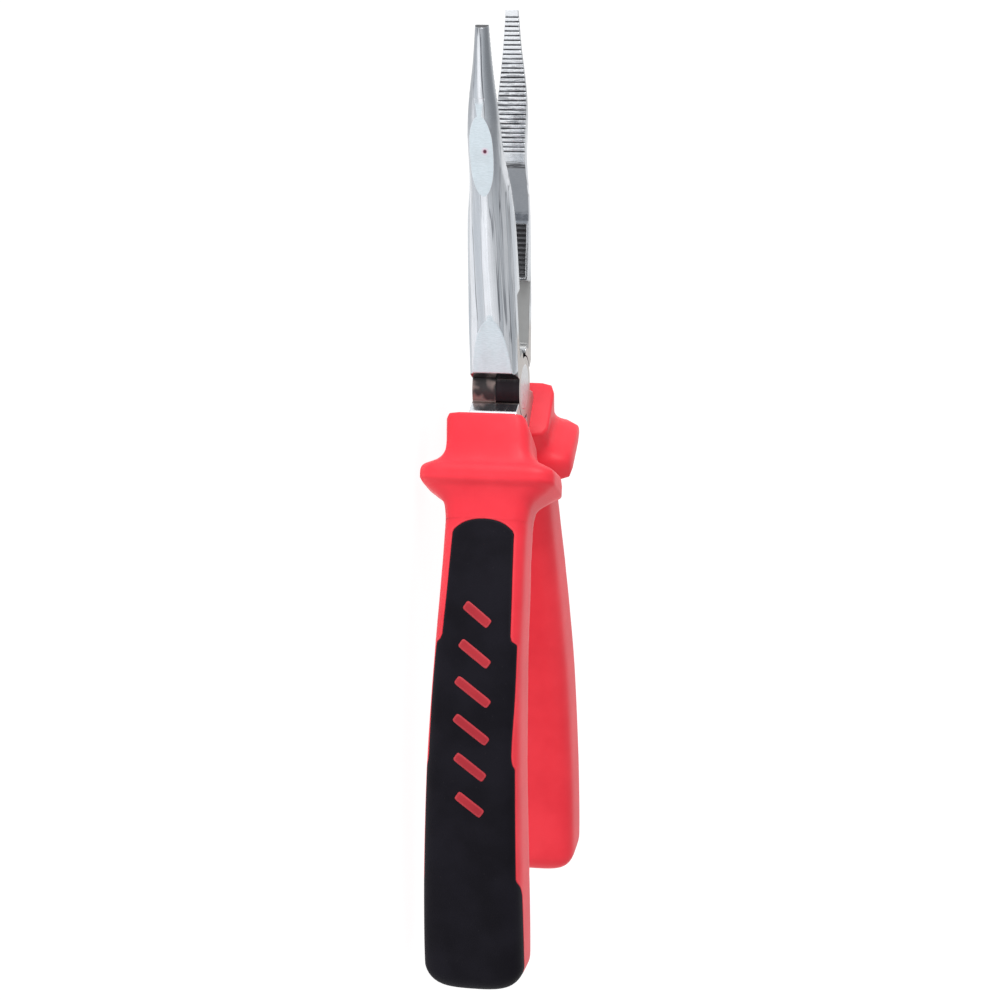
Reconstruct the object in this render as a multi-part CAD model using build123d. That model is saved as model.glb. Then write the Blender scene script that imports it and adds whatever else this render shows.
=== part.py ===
from build123d import *
import math
import os

# Insulated long-nose pliers, lying flat: +X to the jaw tips, Y the way the jaws open, Z the pivot axis.
# The origin is on the pivot axis, in the plane where the two halves meet.
# One half is drawn closed (jaw on +Y, handle on -Y) and copied turned over about X to make the other.

# ---- driving dimensions, mm and degrees -------------------------------------------------------
OPEN_HALF_DEG = 12.0       # each half turned out by this from closed, as the tool stands
JAW_LENGTH = 77.4          # pivot axis to jaw tip
JOINT_THICK = 9.8          # lap joint and jaw root, across Z
HEAD_HALF = 8.7            # back of the head from the pivot axis, closed
FACE_GAP = 0.15            # jaw face to the middle plane, closed
LAP_GAP = 0.05             # lap face to the middle plane
DISC_R = 6.3               # round of the lap joint
DISC_CLEAR = 0.35          # between that round and the other half's recess
JAW_SHOULDER_DEG = 51.6    # where the jaw shoulder stands around the pivot, closed
TANG_SHOULDER_DEG = 120.0  # where the handle shoulder stands around the pivot, closed
RIVET_R = 3.4
RIVET_HEAD_R = 4.7
RIVET_CLEAR = 0.05         # running clearance, radial
TOOTH_PITCH = 0.95         # fine cross serrations of the tip
TOOTH_DEPTH = 0.38
GRIP_SKIN = 1.5            # thickness of the soft black panel
TANG_END_X = -104.0

# Jaw sections: x, half width, height of the upright side, height of the rounded crown, drift across Z.
JAW_ROOT = [
    (1.6, 4.90, 5.9, 11.9, 0.0),
    (6.6, 4.90, 5.7, 11.4, 0.0),
    (18.4, 4.90, 4.2, 8.70, 0.0),
]
JAW_NOSE = [
    (18.4, 4.90, 4.2, 8.70, 0.0),
    (26.0, 4.88, 2.5, 8.60, 0.0),
    (33.0, 4.80, 1.2, 8.40, 0.0),
    (39.0, 4.56, 1.2, 7.95, 0.1),
    (44.0, 4.02, 1.9, 7.42, 0.2),
    (48.0, 3.48, 2.6, 7.75, 0.0),
    (52.0, 3.20, 2.7, 7.75, -0.25),
    (56.0, 3.10, 2.2, 6.65, -0.45),
    (60.0, 2.92, 1.2, 4.36, -0.55),
    (64.0, 2.52, 0.9, 3.95, -0.50),
    (70.0, 1.86, 0.7, 3.40, -0.25),
    (JAW_LENGTH, 1.32, 0.5, 2.40, 0.0),
]
SERRATION = (48.2, 77.0)   # from, to along X
SCOOP = (34.4, 47.6, 0.45)   # from, to, depth
POCKET = (22.4, 33.6, 1.30)  # from, to, depth of the pipe-grip oval
CUTTER = (9.0, 21.8)
GROUND_FLAT = (43.0, 7.75, 60.5, 4.30)   # ground oval on the jaw back: x and height where it starts and ends
GROUND_LEAN_DEG = 6.0        # that flat leans to one side

# Handle centreline, closed, as (x, distance out from the middle plane).
SPINE = [
    (-7.2, 7.35), (-13.0, 9.1), (-20.0, 11.0), (-28.0, 12.8), (-42.0, 15.2),
    (-62.0, 15.8), (-84.0, 14.5), (-104.0, 11.5), (-124.0, 7.2),
]
# The handle lies a little to one side of the middle near the guard: x, drift across Z.
DRIFT = [
    (-130.0, 0.0), (-78.0, 0.0), (-64.0, -0.2), (-52.0, -0.45), (-40.0, -0.7), (-24.2, -0.7),
    (-17.0, -0.45), (-13.0, -0.1), (-7.0, 0.0),
]
# Sleeve sections along that line: x, half depth (out from the middle), half width (Z), corner radius.
GUARD = [
    (-7.2, 6.4, 7.8, 1.4),
    (-8.4, 7.0, 8.7, 1.8),
    (-13.4, 7.0, 8.7, 1.9),
    (-15.2, 7.1, 9.4, 2.2),
    (-16.4, 7.5, 11.4, 2.2),
    (-17.0, 8.0, 13.0, 2.0),
    (-17.8, 8.2, 13.8, 1.8),
    (-19.4, 8.2, 13.8, 1.8),
    (-20.2, 7.8, 13.1, 1.9),
    (-21.0, 7.2, 12.0, 2.2),
    (-22.6, 6.9, 10.2, 2.6),
    (-24.2, 6.7, 8.9, 2.8),
]
GRIP = [
    (-24.2, 6.7, 8.9, 2.8),
    (-29.0, 6.8, 8.4, 3.0),
    (-40.0, 7.4, 8.6, 3.2),
    (-52.0, 8.0, 8.9, 3.4),
    (-68.0, 8.4, 9.4, 3.5),
    (-86.0, 8.4, 9.9, 3.6),
    (-104.0, 8.2, 10.3, 3.6),
    (-116.0, 8.0, 10.4, 3.6),
    (-120.6, 7.4, 9.9, 3.6),
    (-122.8, 5.6, 8.0, 3.2),
]
# Edge of the black panel on the outer face: x, half width, with the moulded steps.
PANEL = [
    (-27.8, 0.0), (-28.0, 2.0), (-28.7, 4.0), (-29.8, 5.9), (-51.6, 7.2), (-53.4, 8.5),
    (-75.2, 8.2), (-77.0, 9.3), (-98.0, 9.4), (-103.0, 10.8), (-120.0, 11.0), (-128.0, 11.0),
]
MARKS = [(-46.0, 6.4), (-53.4, 7.4), (-60.8, 8.4), (-68.2, 8.4), (-75.6, 7.4), (-83.0, 6.4)]
MARK_WIDTH = 1.9
MARK_TILT_DEG = 35.0


def polygon_yz(x, points):
    """Face in the YZ plane at x from (z, y) corners."""
    corners = [Vector(x, y, z) for z, y in points]
    return Face(Wire.make_polygon(corners, close=True))


def jaw_section(x, half, side, crown, drift):
    """Flat jaw face, upright sides and a half-round back."""
    arc = []
    for step in range(9):
        turn = math.pi * step / 8
        arc.append(Vector(x, side + (crown - side) * math.sin(turn), drift + half * math.cos(turn)))
    back = Spline(arc, tangents=[Vector(0, 1, 0), Vector(0, -1, 0)])
    low_left = Vector(x, FACE_GAP, drift - half)
    low_right = Vector(x, FACE_GAP, drift + half)
    sides = [Line(arc[-1], low_left), Line(low_left, low_right), Line(low_right, arc[0])]
    return Face(Wire([back] + sides))


def slab(points, z_from, z_to):
    """XY polygon between two heights."""
    face = Face(Wire.make_polygon([Vector(x, y, z_from) for x, y in points], close=True))
    return Solid.extrude(face, Vector(0, 0, z_to - z_from))


def rod(radius, z_from, z_to):
    return Pos(0, 0, (z_from + z_to) / 2) * Cylinder(radius, z_to - z_from)


def eased_rows(rows, step):
    """Sections close together between the given ones, on a smooth curve through them."""
    made = []
    for i in range(len(rows) - 1):
        before, here, there, after = rows[max(i - 1, 0)], rows[i], rows[i + 1], rows[min(i + 2, len(rows) - 1)]
        span = there[0] - here[0]
        count = max(1, round(span / step))
        for k in range(count):
            t = k / count
            row = [here[0] + span * t]
            for p, a, b, q in list(zip(before, here, there, after))[1:]:
                into = (b - p) / (there[0] - before[0]) * span
                out_of = (q - a) / (after[0] - here[0]) * span
                row.append(hermite(a, b, into, out_of, t))
            made.append(tuple(row))
    return made + [rows[-1]]


def hermite(a, b, into, out_of, t):
    start = (1 + 2 * t) * (1 - t) ** 2 * a + t * (1 - t) ** 2 * into
    return start + t * t * (3 - 2 * t) * b + t * t * (t - 1) * out_of


def jaw():
    root = loft([jaw_section(*row) for row in JAW_ROOT], ruled=True)
    nose = loft([jaw_section(*row) for row in eased_rows(JAW_NOSE, 2.2)], ruled=True)
    # the head's flat cuts the half-round back off in a triangle
    body = root + nose - Pos(5, HEAD_HALF + 5, 0) * Box(40, 10, 14)
    # the shoulder stands square to the pivot
    reach = 14.0
    lean = math.radians(JAW_SHOULDER_DEG)
    shoulder = [(-reach, -1), (0, 0), (reach * math.cos(lean), reach * math.sin(lean)), (-reach, reach)]
    return body - slab(shoulder, -6, 6)


def tooth_row(x_from, x_to, pitch, depth):
    """Closed outline of narrow grooves that leave flat lands at the jaw face."""
    count = int((x_to - x_from) / pitch)
    points = [(x_from, -1.0)]
    for i in range(count):
        x = x_from + i * pitch
        points += [(x, FACE_GAP), (x + pitch * 0.22, FACE_GAP + depth), (x + pitch * 0.48, FACE_GAP)]
    points += [(x_from + count * pitch, FACE_GAP), (x_from + count * pitch, -1.0)]
    return points


def pocket_profile():
    """Oval pipe grip: an arc broken into coarse teeth."""
    x_from, x_to, depth = POCKET
    middle = (x_from + x_to) / 2
    half = (x_to - x_from) / 2
    points = [(x_from, -1.0), (x_from, FACE_GAP)]
    steps = 22
    for i in range(1, steps):
        t = -1 + 2 * i / steps
        lift = depth * (1 - t * t) + (0.42 if i % 2 else 0.0)
        points.append((middle + half * t, FACE_GAP + lift))
    return points + [(x_to, FACE_GAP), (x_to, -1.0)]


def jaw_face_cuts():
    teeth = slab(tooth_row(*SERRATION, TOOTH_PITCH, TOOTH_DEPTH), -6, 6)
    x_from, x_to, depth = SCOOP
    radius = (((x_to - x_from) / 2) ** 2 + depth ** 2) / (2 * depth)
    scoop = Pos((x_from + x_to) / 2, FACE_GAP + depth - radius, 0) * Cylinder(radius, 12)
    pocket = slab(pocket_profile(), -4.35, 4.35)
    bevel = [(0.12, -1.0), (0.12, FACE_GAP), (5.2, 3.3), (5.2, -1.0)]
    cutters = []
    for side in (1, -1):
        face = polygon_yz(CUTTER[0], [(side * z, y) for z, y in bevel])
        cutters.append(Solid.extrude(face, Vector(CUTTER[1] - CUTTER[0], 0, 0)))
    throat = Pos(CUTTER[0] - 0.3, 0.3, 0) * Cylinder(0.95, 12)
    return [teeth, scoop, pocket, *cutters, throat]


def ground_flat():
    """Plane ground across the crown of the jaw back, leaving an oval."""
    x_from, y_from, x_to, y_to = GROUND_FLAT
    tilt = math.degrees(math.atan2(y_to - y_from, x_to - x_from))
    middle = Pos((x_from + x_to) / 2, (y_from + y_to) / 2, 0)
    return middle * Rot(0, 0, tilt) * Rot(-GROUND_LEAN_DEG, 0, 0) * Pos(0, 5, 0) * Box(24, 10, 14)


def drift_at(x):
    """Sideways place of the handle's middle at x."""
    for (x_low, low), (x_high, high) in zip(DRIFT, DRIFT[1:]):
        if x <= x_high:
            return low + (high - low) * (x - x_low) / (x_high - x_low)
    return 0.0


def spine():
    points = [Vector(x, -out, 0) for x, out in SPINE]
    return Spline(points)


def spine_plane(line, x):
    """Plane square to the handle centreline where it passes x."""
    low, high = 0.0, 1.0
    for _ in range(40):
        t = (low + high) / 2
        if (line @ t).X > x:
            low = t
        else:
            high = t
    return Plane(origin=line @ t, x_dir=(0, 0, 1), z_dir=line % t)


def handle_plane(line, x):
    """The same plane, moved across with the handle."""
    plane = spine_plane(line, x)
    return Plane(origin=plane.origin + Vector(0, 0, drift_at(x)), x_dir=plane.x_dir, z_dir=plane.z_dir)


def rounded(plane, half_depth, half_width, radius):
    return plane * RectangleRounded(2 * half_width, 2 * half_depth, radius)


def tang(line):
    """Flat forged shank inside the sleeve."""
    stations = [(-9.0, 4.6, 4.9), (-16.0, 4.4, 4.2), (-28.0, 3.8, 3.2), (-60.0, 3.4, 2.8), (TANG_END_X, 2.6, 2.4)]
    faces = []
    for x, half_depth, half_width in stations:
        faces.append(spine_plane(line, x) * Rectangle(2 * half_width, 2 * half_depth))
    return loft(faces, ruled=True)


def head_tail():
    """Full-thickness root of the handle, behind the joint."""
    lean = math.radians(TANG_SHOULDER_DEG)
    edge = HEAD_HALF / math.sin(lean)
    corner = (edge * math.cos(lean), -HEAD_HALF)
    points = [(0, 0), corner, (-6.5, -9.6), (-10.4, -11.6), (-12.2, -5.0), (-11.4, -0.6), (-1.0, -0.6)]
    return slab(points, -JOINT_THICK / 2, JOINT_THICK / 2)


def lever(line):
    top = JOINT_THICK / 2
    steel = jaw()
    for cut in jaw_face_cuts():
        steel = steel - cut
    steel = steel - ground_flat()
    steel = steel + head_tail() + tang(line)
    # room for the other half's round, then this half's own round
    steel = steel - rod(DISC_R + DISC_CLEAR, -top - 1, LAP_GAP)
    steel = steel + rod(DISC_R, LAP_GAP, top)
    steel = steel - rod(RIVET_R, -6, 6) - rivet_head(top)
    return steel


def rivet_head(z_top):
    """Countersunk flare that ends flush with the joint face."""
    cone = Cone(RIVET_R, RIVET_HEAD_R, 1.2)
    return Pos(0, 0, z_top - 0.6) * cone


def rivet():
    top = JOINT_THICK / 2
    body = rod(RIVET_R, -top + 0.1, top)
    far_head = Rot(180, 0, 0) * rivet_head(top - 0.05)
    return body + rivet_head(top) + far_head


def pin_room():
    """Running clearance in the moving half around the rivet."""
    top = JOINT_THICK / 2
    shank = rod(RIVET_R + RIVET_CLEAR, -6, 1)
    flare = Pos(0, 0, -top + 0.6) * Cone(RIVET_HEAD_R + 0.22, RIVET_R + 0.09, 1.3)
    return shank + flare


def guard_body(line):
    """Block, flared guard and neck at the top of the sleeve."""
    return loft([rounded(handle_plane(line, x), d, w, r) for x, d, w, r in GUARD], ruled=True)


def grip_body(line):
    return loft([rounded(handle_plane(line, x), d, w, r) for x, d, w, r in GRIP])


def grip_core(line):
    """The grip drawn in by the thickness of its soft skin."""
    rows = []
    for x, depth, width, radius in GRIP:
        rows.append((min(x + GRIP_SKIN, GRIP[0][0]) if x < -110 else x, depth, width, radius))
    faces = []
    for x, d, w, r in rows:
        s = GRIP_SKIN
        faces.append(rounded(handle_plane(line, x), d - s, w - s, max(r - s, 0.6)))
    return loft(faces)


def panel_room():
    """Outline of the black panel, as a block outside the handle's mid line, plus the whole end."""
    side = [(x, drift_at(x) + z) for x, z in PANEL]
    outline = side + [(x, drift_at(x) - z) for x, z in reversed(PANEL[1:])]
    face = Face(Wire.make_polygon([Vector(x, -40, z) for x, z in outline], close=True))
    block = Solid.extrude(face, Vector(0, 40, 0))
    mid = [(x, -out) for x, out in SPINE[2:]]
    inner = slab(mid + [(-140, -12.0), (-140, 5), (-20, 5)], -20, 20)
    end = Pos(-131.0, -15, 0) * Box(20, 40, 40)
    return (block - inner) + end


def marks():
    """Generic slanted bars that show the red through the black."""
    bars = []
    for x, length in MARKS:
        bar = Rot(0, MARK_TILT_DEG, 0) * Box(MARK_WIDTH, 30, length)
        bars.append(Pos(x, -30, drift_at(x)) * bar)
    return bars


def handle(line):
    """Red sleeve and black panel of one half, closed."""
    grip = grip_body(line)
    steel = tang(line) + head_tail()
    panel = (grip & panel_room()) - grip_core(line)
    for bar in marks():
        panel = panel - bar
    sleeve = (guard_body(line) - steel) + (grip - panel - steel)
    return sleeve, panel


def save(name, shape, turn):
    """Turn a closed half out to the standing pose and write it."""
    parts = Compound(children=list((turn * shape).solids()))
    export_step(parts, f"parts/{name}.step")


def main():
    os.makedirs("parts", exist_ok=True)
    line = spine()
    steel = lever(line)
    sleeve, panel = handle(line)
    upper = Rot(0, 0, OPEN_HALF_DEG)
    lower = Rot(0, 0, -OPEN_HALF_DEG) * Rot(180, 0, 0)
    save("upper_lever", steel, upper)
    save("lower_lever", steel - Rot(180, 0, 0) * pin_room(), lower)
    save("joint_rivet", rivet(), upper)
    save("upper_sleeve", sleeve, upper)
    save("lower_sleeve", sleeve, lower)
    save("upper_grip", panel, upper)
    save("lower_grip", panel, lower)


main()
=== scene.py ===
import math

import bmesh
import bpy
import numpy as np
from mathutils import Matrix, Vector


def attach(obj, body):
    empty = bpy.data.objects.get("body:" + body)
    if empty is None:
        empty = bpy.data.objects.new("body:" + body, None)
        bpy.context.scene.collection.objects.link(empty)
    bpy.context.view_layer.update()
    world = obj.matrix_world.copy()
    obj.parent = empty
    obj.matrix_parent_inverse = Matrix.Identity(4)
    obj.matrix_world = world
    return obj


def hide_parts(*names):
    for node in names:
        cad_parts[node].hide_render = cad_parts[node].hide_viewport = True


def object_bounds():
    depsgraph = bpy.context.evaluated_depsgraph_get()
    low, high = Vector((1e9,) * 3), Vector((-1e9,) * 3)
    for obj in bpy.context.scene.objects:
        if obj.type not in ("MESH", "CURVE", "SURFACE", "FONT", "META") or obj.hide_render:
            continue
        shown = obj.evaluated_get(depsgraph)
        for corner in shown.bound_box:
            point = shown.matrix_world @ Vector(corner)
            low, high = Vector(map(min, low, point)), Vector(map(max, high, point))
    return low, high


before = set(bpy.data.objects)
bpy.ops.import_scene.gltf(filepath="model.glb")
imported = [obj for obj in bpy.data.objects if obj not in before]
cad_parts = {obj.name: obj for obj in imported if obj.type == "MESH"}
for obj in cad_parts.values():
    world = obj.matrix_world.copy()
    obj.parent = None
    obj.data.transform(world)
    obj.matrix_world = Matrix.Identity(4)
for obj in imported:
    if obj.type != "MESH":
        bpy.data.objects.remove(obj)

size_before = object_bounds()

# Insulated long-nose pliers. Lengths are in millimetres until a mesh is made, and in metres from there.
MM = 0.001
OPEN = math.radians(12.0)
SKIN = 1.4            # thickness of the soft black grip
RECESS_PLAY = 0.05    # how much deeper the grip's underside lies than the recess it sits in
ROUND = 0.22          # rounding of the edges where red meets black
HALVES = {"upper": "upper_half", "lower": "lower_half"}

# Handle centreline, closed: x, distance out from the middle plane.
SPINE = [(-7.2, 7.35), (-13.0, 9.1), (-20.0, 11.0), (-28.0, 12.8), (-42.0, 15.2),
         (-62.0, 15.8), (-84.0, 14.5), (-104.0, 11.5), (-124.0, 7.2)]
# The handle lies a little to one side of the middle near the guard: x, drift across Z.
DRIFT = [(-130.0, 0.0), (-78.0, 0.0), (-64.0, -0.2), (-52.0, -0.45), (-40.0, -0.7), (-24.2, -0.7),
         (-17.0, -0.45), (-13.0, -0.1), (-7.0, 0.0)]
# Sleeve along it: x, half depth, half width, squareness of the section.
BODY = [
    (-7.80, 7.00, 8.95, 8.0), (-9.4, 7.00, 8.86, 8.4), (-12.8, 7.00, 8.68, 8.6), (-14.0, 7.05, 8.80, 8.6),
    (-15.0, 7.18, 9.40, 8.2), (-15.8, 7.40, 10.5, 8.0), (-16.4, 7.68, 12.0, 8.0),
    (-16.9, 8.05, 13.1, 8.2), (-17.5, 8.34, 13.62, 8.6), (-18.2, 8.45, 13.75, 9.6),
    (-19.2, 8.45, 13.75, 9.6), (-19.7, 8.32, 13.56, 8.8), (-20.1, 7.95, 13.10, 8.4),
    (-20.6, 7.45, 12.45, 7.8), (-21.4, 7.15, 11.50, 7.0), (-22.4, 6.92, 10.40, 6.2),
    (-23.6, 6.76, 9.45, 5.6), (-25.0, 6.70, 8.85, 5.3),
    (-28.5, 6.78, 8.45, 5.1), (-34.0, 7.05, 8.46, 5.0), (-40.0, 7.40, 8.60, 4.9),
    (-52.0, 8.00, 8.90, 4.8), (-68.0, 8.40, 9.40, 4.8), (-86.0, 8.40, 9.90, 4.8),
    (-104.0, 8.20, 10.30, 4.8), (-114.0, 8.05, 10.38, 4.8), (-118.6, 7.90, 10.36, 4.8),
]
# How far each station slides towards the jaws, on the outer face and on the inner face: x, slide.
SLIDE_OUT = [(-27.0, 0.0), (-24.0, -0.35), (-20.6, -0.95), (-16.4, -0.80), (-13.0, 0.0), (-7.8, 0.0)]
SLIDE_IN = [(-25.0, 0.0), (-21.0, -1.2), (-19.4, -1.3), (-18.2, -0.3), (-16.4, 0.7), (-13.0, 0.0),
            (-11.0, -1.0), (-7.8, -2.4)]
END_X = -122.5        # the handle's end
END_ROUND = 4.2       # radius of its rounding
# Edge of the black grip on the outer face: x, half width. Past the last row it lies on the handle's sides.
PANEL = [(-27.8, 0.0), (-27.84, 1.0), (-28.0, 2.2), (-28.3, 3.3), (-28.8, 4.4), (-29.5, 5.4), (-30.0, 6.0),
         (-30.6, 6.3), (-40.0, 6.6), (-49.9, 7.0)]
# There, on the +Z side (1) and on the -Z side (-1): x, share of the way round from the outer face to the
# inner one. None stands for where the panel's own edge has got to.
WRAP = {
    1: [(-49.9, None), (-50.8, 0.250), (-51.7, 0.288), (-60.0, 0.300), (-73.4, 0.292), (-75.0, 0.300),
        (-76.2, 0.320), (-98.0, 0.330), (-100.0, 0.345), (-119.4, 0.36), (-121.0, 0.46), (-121.94, 0.58),
        (-122.18, 0.66), (-122.36, 1.0), (END_X, 1.0)],
    -1: [(-49.9, None), (-50.8, 0.245), (-51.7, 0.295), (-60.0, 0.288), (-73.4, 0.264), (-75.0, 0.272),
         (-76.2, 0.296), (-98.0, 0.295), (-100.4, 0.350), (-102.4, 0.375), (-112.0, 0.39), (-119.8, 0.41),
         (-121.2, 0.48), (-121.94, 0.58), (-122.18, 0.66), (-122.36, 1.0), (END_X, 1.0)],
}
END_BOW = 1.7         # how much longer the handle end's outer face is in the middle than at its sides
BOW_START, BOW_LENGTH, BOW_POWER = -106.0, 12.0, 2.6
WRAPPED = 0.999       # from this share of the way round, the black grip counts as closed
EDGE_STOP = 0.9       # the grip's edge is followed up to this far from the handle's end
# The block's top corner on the -Z side is cut back: x, how far.
CORNER = [(-14.0, 0.0), (-12.0, 0.15), (-10.0, 0.45), (-8.8, 0.85), (-7.8, 1.35)]
# Slanted bars in the black grip: x, length.
MARKS = [(-46.0, 6.4), (-53.4, 7.4), (-60.8, 8.4), (-68.2, 8.4), (-75.6, 7.4), (-83.0, 6.4)]
MARK_HALF = 0.95      # half width of a bar
MARK_TILT = math.radians(35.0)
MARK_POINTS = 40
MARK_SIDE_SQUARE, MARK_END_SQUARE = 5.0, 12.0
# The bar's rounded edge: size, height over the black grip.
MARK_EDGE = [(1.0, -0.5), (1.0, 0.03), (0.93, 0.09), (0.8, 0.12), (0.4, 0.13), (0.0, 0.13)]
BLOCK_EDGE = 0.6      # rounding of the edge round the block's top
BLOCK_FLAT = 3.5      # how far in from the side the flat of the block's top is set out
EDGE_STRIP = 0.5      # width on each side of the grip's edge where columns lie close together
EDGE_STEPS = (0.0, 0.08, 0.2, 0.36, 0.6)
INSIDE_STEPS, OUTSIDE_STEPS = 13, 15  # columns on the rest of the way, inside and outside the grip's edge
UNDER_GRIP = (1.0, 0.75, 0.5, 0.25, 0.0, -0.25, -0.5, -0.75, -1.0)    # columns of the recess's floor
END_STEPS, BLOCK_STEPS = 12, 5        # rings round the two rounded ends
CAP_RINGS = (0.8, 0.55, 0.28, 0.0)    # sizes of the rings that close the black grip over the handle's end
SECTION_POINTS = 241
SLOPE_REACH = 0.15    # a section's slope is taken over this distance each way
SHARP = math.radians(60.0)            # edges that bend more than this stay sharp


# ---- curves ------------------------------------------------------------------------------------
def pchip(xs, ys, at):
    """Smooth curve through points that never overshoots them."""
    xs, ys, at = np.asarray(xs, float), np.asarray(ys, float), np.asarray(at, float)
    h = np.diff(xs)
    d = np.diff(ys) / h
    m = np.zeros(len(xs))
    same = d[:-1] * d[1:] > 0
    w1, w2 = 2 * h[1:] + h[:-1], h[1:] + 2 * h[:-1]
    with np.errstate(divide="ignore", invalid="ignore"):
        inner = (w1 + w2) / (w1 / d[:-1] + w2 / d[1:])
    m[1:-1] = np.where(same, inner, 0.0)
    m[0], m[-1] = d[0], d[-1]
    i = np.clip(np.searchsorted(xs, at) - 1, 0, len(h) - 1)
    t = (at - xs[i]) / h[i]
    a = (1 + 2 * t) * (1 - t) ** 2 * ys[i] + t * (1 - t) ** 2 * h[i] * m[i]
    b = t * t * (3 - 2 * t) * ys[i + 1] + t * t * (t - 1) * h[i] * m[i + 1]
    return a + b


def natural_spline(xs, ys, at, slope=False):
    """Cubic spline with free ends, as a bent rod through the points."""
    n = len(xs)
    h = np.diff(xs)
    a = np.zeros((n, n))
    r = np.zeros(n)
    a[0, 0] = a[-1, -1] = 1
    for i in range(1, n - 1):
        a[i, i - 1], a[i, i], a[i, i + 1] = h[i - 1], 2 * (h[i - 1] + h[i]), h[i]
        r[i] = 6 * ((ys[i + 1] - ys[i]) / h[i] - (ys[i] - ys[i - 1]) / h[i - 1])
    m = np.linalg.solve(a, r)
    i = np.clip(np.searchsorted(xs, at) - 1, 0, n - 2)
    u, v = xs[i + 1] - at, at - xs[i]
    c, d = ys[i] / h[i] - m[i] * h[i] / 6, ys[i + 1] / h[i] - m[i + 1] * h[i] / 6
    if slope:
        return (-m[i] * u ** 2 + m[i + 1] * v ** 2) / (2 * h[i]) - c + d
    return (m[i] * u ** 3 + m[i + 1] * v ** 3) / (6 * h[i]) + c * u + d * v


SPINE_X = np.array([p[0] for p in SPINE][::-1])
SPINE_V = np.array([p[1] for p in SPINE][::-1])


def spine_at(x):
    """Centre, tangent and outward normal of the handle line at x, closed, handle on -Y."""
    out = natural_spline(SPINE_X, SPINE_V, np.array([x]))[0]
    slope = natural_spline(SPINE_X, SPINE_V, np.array([x]), slope=True)[0]
    size = math.hypot(1, slope)
    return np.array([x, -out]), np.array([-1.0, slope]) / size, np.array([-slope, -1.0]) / size


def table_at(table, x):
    """Smooth curve through a table of (x, value), level beyond its ends."""
    xs = [p[0] for p in table]
    return float(pchip(xs, [p[1] for p in table], [min(max(x, xs[0]), xs[-1])])[0])


def drift_at(x):
    """How far the handle lies to the side at x."""
    return table_at(DRIFT, x)


def section_table(q, w, n):
    """Half perimeter of the rounded section, from the middle of the outer face to that of the inner one."""
    a = np.linspace(0, math.pi, SECTION_POINTS)
    z = w * np.sign(np.sin(a)) * np.abs(np.sin(a)) ** (2 / n)
    d = q * np.sign(np.cos(a)) * np.abs(np.cos(a)) ** (2 / n)
    length = np.concatenate([[0], np.cumsum(np.hypot(np.diff(z), np.diff(d)))])
    return z, d, length


# ---- meshes ------------------------------------------------------------------------------------
def stand(points, half):
    """Closed row-frame millimetres of one half, turned out to the standing pose, in metres."""
    p = np.array(points, float)
    if half == "lower":
        p = p * np.array([1, -1, -1])
    turn = OPEN if half == "upper" else -OPEN
    c, s = math.cos(turn), math.sin(turn)
    out = np.empty_like(p)
    out[:, 0] = c * p[:, 0] - s * p[:, 1]
    out[:, 1] = s * p[:, 0] + c * p[:, 1]
    out[:, 2] = p[:, 2]
    return out * MM


def make_object(name, points, faces, material, half):
    """Piece of one half from closed points and faces, cleaned, smoothed and hung on its body."""
    mesh = bpy.data.meshes.new(name)
    mesh.from_pydata([tuple(p) for p in stand(points, half)], [], faces)
    tidy = bmesh.new()
    tidy.from_mesh(mesh)
    bmesh.ops.remove_doubles(tidy, verts=tidy.verts, dist=2e-6)
    bmesh.ops.dissolve_degenerate(tidy, dist=1e-6, edges=tidy.edges)
    bmesh.ops.recalc_face_normals(tidy, faces=tidy.faces)
    for f in tidy.faces:
        f.smooth = True
    for e in tidy.edges:
        e.smooth = not e.is_manifold or e.calc_face_angle(0) < SHARP
    tidy.to_mesh(mesh)
    tidy.free()
    mesh.materials.append(material)
    obj = bpy.data.objects.new(name, mesh)
    bpy.context.scene.collection.objects.link(obj)
    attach(obj, HALVES[half])
    return obj


def row_positions():
    """Stations along the sleeve, close together where its shape or the grip's edge turns."""
    xs = list(np.arange(-7.8, -13.0, -0.8)) + list(np.arange(-13.0, -26.0, -0.22))
    xs += [-26.4, -26.9, -27.3, -27.6, -27.75, -27.8, -27.81, -27.83, -27.86, -27.91, -27.98, -28.08, -28.2,
           -28.36, -28.55, -28.8, -29.05, -29.3, -29.55, -29.8, -30.05, -30.3, -30.6]
    xs += list(np.arange(-31.4, -48.9, -1.0)) + [-49.1] + list(np.arange(-49.4, -53.0, -0.25))
    xs += list(np.arange(-53.7, -72.8, -1.1)) + list(np.arange(-73.2, -77.4, -0.25))
    xs += list(np.arange(-78.2, -96.6, -1.1)) + list(np.arange(-97.0, -104.0, -0.35))
    xs += list(np.arange(-105.0, END_X + END_ROUND, -1.0))
    return sorted(set(np.round(xs, 3)), reverse=True)


BODY_X = np.array([r[0] for r in BODY][::-1])


def body_at(x):
    """Half depth, half width and squareness of the sleeve at x, level past the last station."""
    values = []
    for k in (1, 2, 3):
        column = np.array([r[k] for r in BODY][::-1])
        values.append(float(pchip(BODY_X, column, [max(x, BODY[-1][0])])[0]))
    return values


def panel_length(x, z, length, side):
    """Distance round the section from the outer middle to the edge of the black grip, on one side."""
    if x > PANEL[0][0]:
        return 0.0
    half = length[-1]
    top = len(z) // 2
    if x >= PANEL[-1][0]:
        p = float(np.interp(x, [p[0] for p in PANEL[::-1]], [p[1] for p in PANEL[::-1]]))
        return float(np.interp(min(p, z[top] * 0.995), z[:top + 1], length[:top + 1]))
    start = float(np.interp(PANEL[-1][1], z[:top + 1], length[:top + 1])) / half
    table = [(p[0], start if p[1] is None else p[1]) for p in WRAP[side]]
    return half * table_at(table[::-1], x)


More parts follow.
